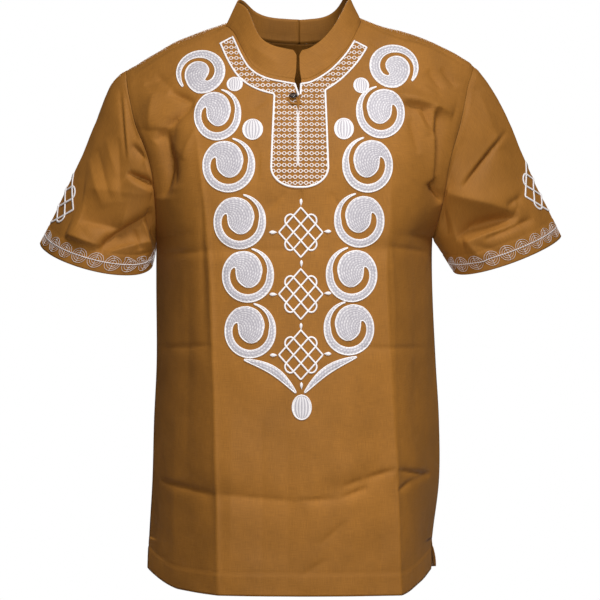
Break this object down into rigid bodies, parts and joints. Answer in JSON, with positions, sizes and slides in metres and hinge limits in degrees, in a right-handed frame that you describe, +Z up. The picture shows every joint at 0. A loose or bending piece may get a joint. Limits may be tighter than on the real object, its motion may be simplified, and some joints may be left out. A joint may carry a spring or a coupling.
{
  "type": "embroidered shirt",
  "caption": "Short-sleeved pullover shirt with a stand collar, a buttoned neck slit, side vents and raised curled embroidery down the front.",
  "frame": {"origin": "between the shoulders at the foot of the neck, where the wearer carries the shirt", "axes": "+Z up towards the collar, -Y out of the embroidered front, +X towards the sleeve on the right of the front view"},
  "size_m": [0.6981, 0.2682, 0.7851],
  "materials": {
    "cloth": "golden brown cotton, soft sheen",
    "thread": "white embroidery thread",
    "button": "gloss black"
  },
  "bodies": {
    "root": {"front": "cloth", "back": "cloth", "sleeve_left": "cloth", "sleeve_right": "cloth", "collar": "cloth", "button_loop": "cloth", "neck_band_left": "thread", "neck_band_right": "thread", "bib": "thread", "scroll_left_1": "thread", "scroll_left_2": "thread", "scroll_left_3": "thread", "scroll_left_4": "thread", "scroll_left_5": "thread", "scroll_left_6": "thread", "scroll_right_1": "thread", "scroll_right_2": "thread", "scroll_right_3": "thread", "scroll_right_4": "thread", "scroll_right_5": "thread", "scroll_right_6": "thread", "oval_left_upper": "thread", "oval_left_lower": "thread", "oval_right_upper": "thread", "oval_right_lower": "thread", "oval_foot": "thread", "leaf_left": "thread", "leaf_right": "thread", "button": "button"}
  },
  "joints": []
}
